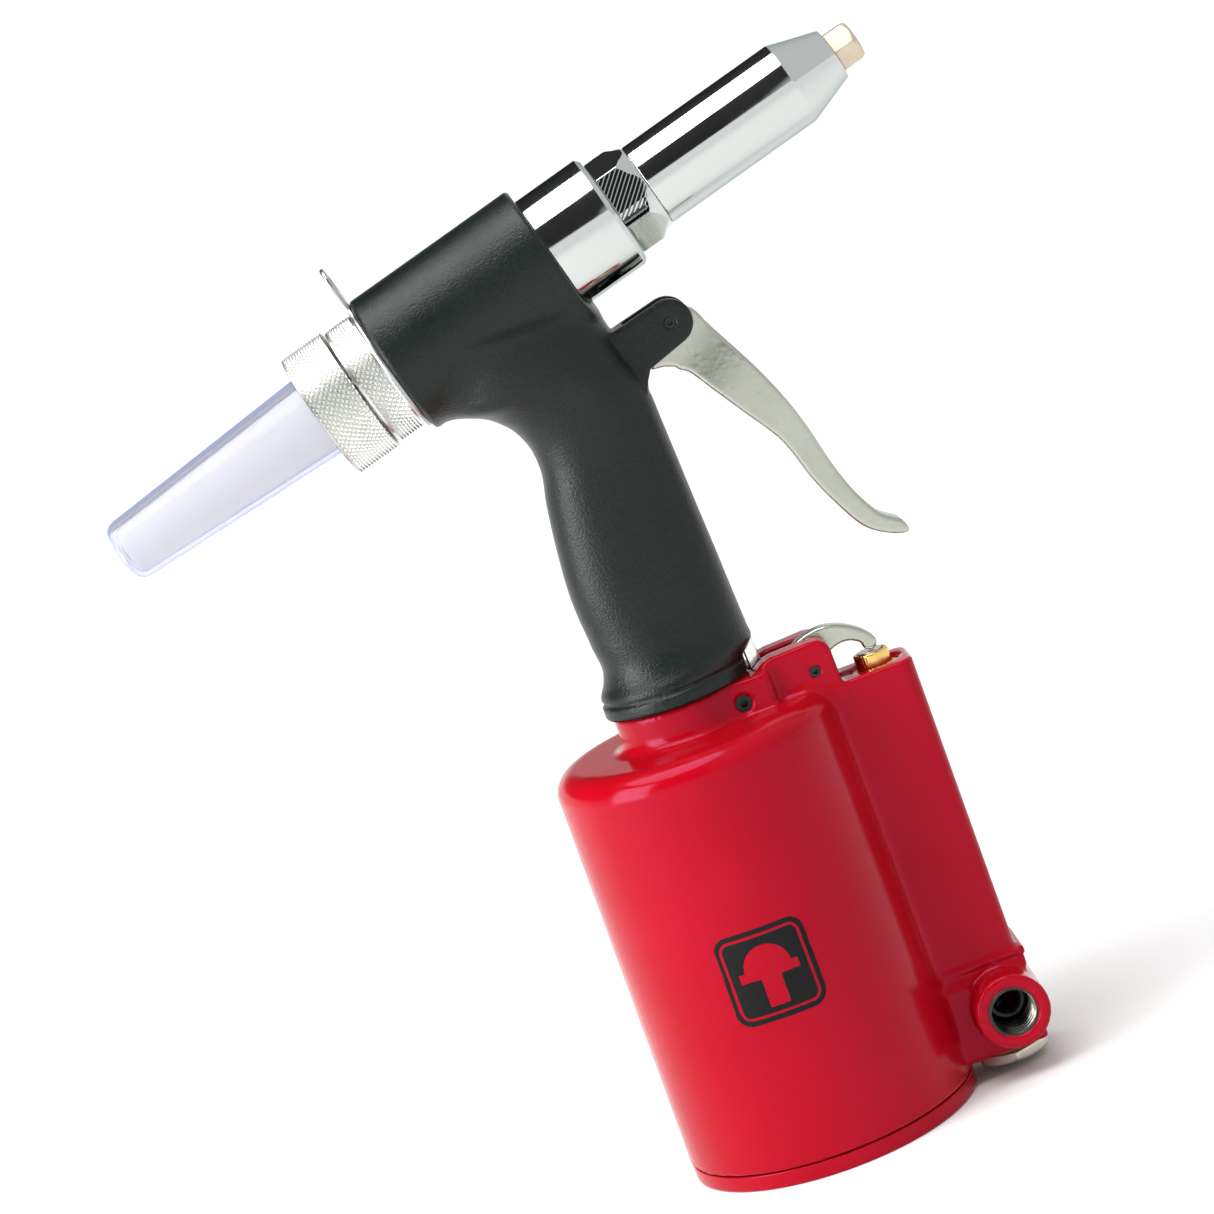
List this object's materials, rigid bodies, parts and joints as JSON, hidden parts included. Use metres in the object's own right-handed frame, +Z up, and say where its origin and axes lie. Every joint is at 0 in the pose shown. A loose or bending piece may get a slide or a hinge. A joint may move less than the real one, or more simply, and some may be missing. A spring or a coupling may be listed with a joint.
{
  "type": "pneumatic rivet gun",
  "caption": "Air-powered blind rivet gun with a red air cylinder, black pistol grip, chrome nose, long lever trigger and clear mandrel bottle.",
  "frame": {"origin": "centre of the base cap's bottom face", "axes": "+Z up the air cylinder's axis, +X towards the nose, +Y away from the air inlet"},
  "size_m": [0.2381, 0.084, 0.2898],
  "materials": {
    "casing_black": "black textured coating on cast aluminium",
    "enamel_red": "glossy red enamel on cast aluminium",
    "chrome": "polished chrome plate",
    "knurled_steel": "satin nickel plate with a diamond knurl",
    "cast_satin": "tumbled cast metal",
    "steel": "ground steel",
    "plate_steel": "bright sheet steel",
    "black_steel": "black oxide",
    "nose_steel": "hardened steel, pale straw tint",
    "zinc_steel": "zinc plated steel",
    "spring_steel": "bare spring wire",
    "brass": "turned brass",
    "bronze": "turned bronze",
    "rubber": "black nitrile",
    "fibre": "brown fibre washer",
    "aluminium": "machined aluminium",
    "clear_plastic": "clear moulded plastic"
  },
  "bodies": {
    "frame": {"handle_casing": "casing_black", "hydraulic_sleeve": "steel", "sleeve_seals": "rubber", "trigger_pin": "black_steel", "rocker_pin": "black_steel", "port_plug": "black_steel", "air_cylinder": "enamel_red", "base_cap": "enamel_red", "base_cap_seal": "rubber", "bumper_ring": "rubber", "ram_gland": "bronze", "ram_gland_seal": "rubber", "valve_sleeve": "brass", "valve_sleeve_seals": "rubber", "valve_spring": "spring_steel", "valve_bush": "brass", "valve_plug": "zinc_steel", "plug_seal": "fibre", "front_gland": "chrome", "gland_seal": "rubber", "rod_seal": "rubber", "return_spring": "spring_steel", "end_cap": "knurled_steel", "end_cap_seal": "rubber", "hanger_plate": "plate_steel", "lock_nut": "chrome", "nose_housing": "chrome", "nosepiece": "nose_steel", "jaw_spring": "spring_steel"},
    "trigger": {"trigger_lever": "cast_satin"},
    "strip": {"trigger_strip": "plate_steel"},
    "rocker": {"rocker_lever": "cast_satin"},
    "valve": {"valve_spool": "steel", "valve_spool_seals": "rubber"},
    "ram": {"air_piston": "aluminium", "air_piston_seal": "rubber", "ram_rod": "steel", "ram_nut": "steel", "ram_seal": "rubber"},
    "puller": {"pull_piston": "steel", "pull_piston_seal": "rubber", "guide_tube": "steel", "jaw_case": "steel"},
    "pusher": {"jaw_pusher": "steel"},
    "jaw_1": {"jaw_1": "steel"},
    "jaw_2": {"jaw_2": "steel"},
    "jaw_3": {"jaw_3": "steel"},
    "bottle": {"collector_bottle": "clear_plastic"},
    "ring": {"collector_ring": "knurled_steel"}
  },
  "joints": [
    {"name": "trigger_squeeze", "type": "hinge", "parent": "frame", "child": "trigger", "pos_m": [0.0328, 0, 0.2293], "axis": [0, 1, 0], "range_deg": [0, 14.5], "stiffness_Nm_per_rad": 0.5, "springref_deg": -6.88},
    {"name": "strip_lift", "type": "slide", "parent": "frame", "child": "strip", "axis": [-0.0424, 0, 0.9991], "range_m": [0, 0.0036]},
    {"name": "rocker_tilt", "type": "hinge", "parent": "frame", "child": "rocker", "pos_m": [0.0374, 0, 0.1262], "axis": [0, 1, 0], "range_deg": [0, 14.7]},
    {"name": "valve_press", "type": "slide", "parent": "frame", "child": "valve", "axis": [0, 0, -1], "range_m": [0, 0.0044], "deforming": ["valve_spring"]},
    {"name": "ram_stroke", "type": "slide", "parent": "frame", "child": "ram", "axis": [0, 0, 1], "range_m": [0, 0.066]},
    {"name": "pull_stroke", "type": "slide", "parent": "frame", "child": "puller", "axis": [-0.9659, 0, -0.2588], "range_m": [0, 0.0176], "stiffness_N_per_m": 1500, "springref_m": -0.02, "deforming": ["return_spring"]},
    {"name": "pusher_follow", "type": "slide", "parent": "puller", "child": "pusher", "axis": [0.9659, 0, 0.2588], "range_m": [0, 0.0015], "deforming": ["jaw_spring"]},
    {"name": "jaw_1_grip", "type": "slide", "parent": "puller", "child": "jaw_1", "axis": [0.9083, 0, 0.4183], "range_m": [0, 0.0015]},
    {"name": "jaw_2_grip", "type": "slide", "parent": "puller", "child": "jaw_2", "axis": [0.9739, -0.1463, 0.1735], "range_m": [0, 0.0015]},
    {"name": "jaw_3_grip", "type": "slide", "parent": "puller", "child": "jaw_3", "axis": [0.9739, 0.1463, 0.1735], "range_m": [0, 0.0015]},
    {"name": "bottle_pull_off", "type": "slide", "parent": "frame", "child": "bottle", "axis": [-0.9659, 0, -0.2588], "range_m": [0, 0.04]},
    {"name": "ring_turn", "type": "hinge", "parent": "bottle", "child": "ring", "pos_m": [-0.05796, 0, 0.23947], "axis": [0.9659, 0, 0.2588], "continuous": true}
  ],
  "couplings": [
    {"joint": "strip_lift", "follows": "trigger_squeeze", "m_per_rad": 0.014067},
    {"joint": "rocker_tilt", "follows": "trigger_squeeze", "ratio": 1.0069},
    {"joint": "valve_press", "follows": "trigger_squeeze", "m_per_rad": 0.017189},
    {"joint": "pull_stroke", "follows": "ram_stroke", "ratio": 0.26515},
    {"joint": "pusher_follow", "follows": "ram_stroke", "ratio": 0.020907},
    {"joint": "jaw_1_grip", "follows": "ram_stroke", "ratio": 0.021212},
    {"joint": "jaw_2_grip", "follows": "ram_stroke", "ratio": 0.021212},
    {"joint": "jaw_3_grip", "follows": "ram_stroke", "ratio": 0.021212}
  ]
}
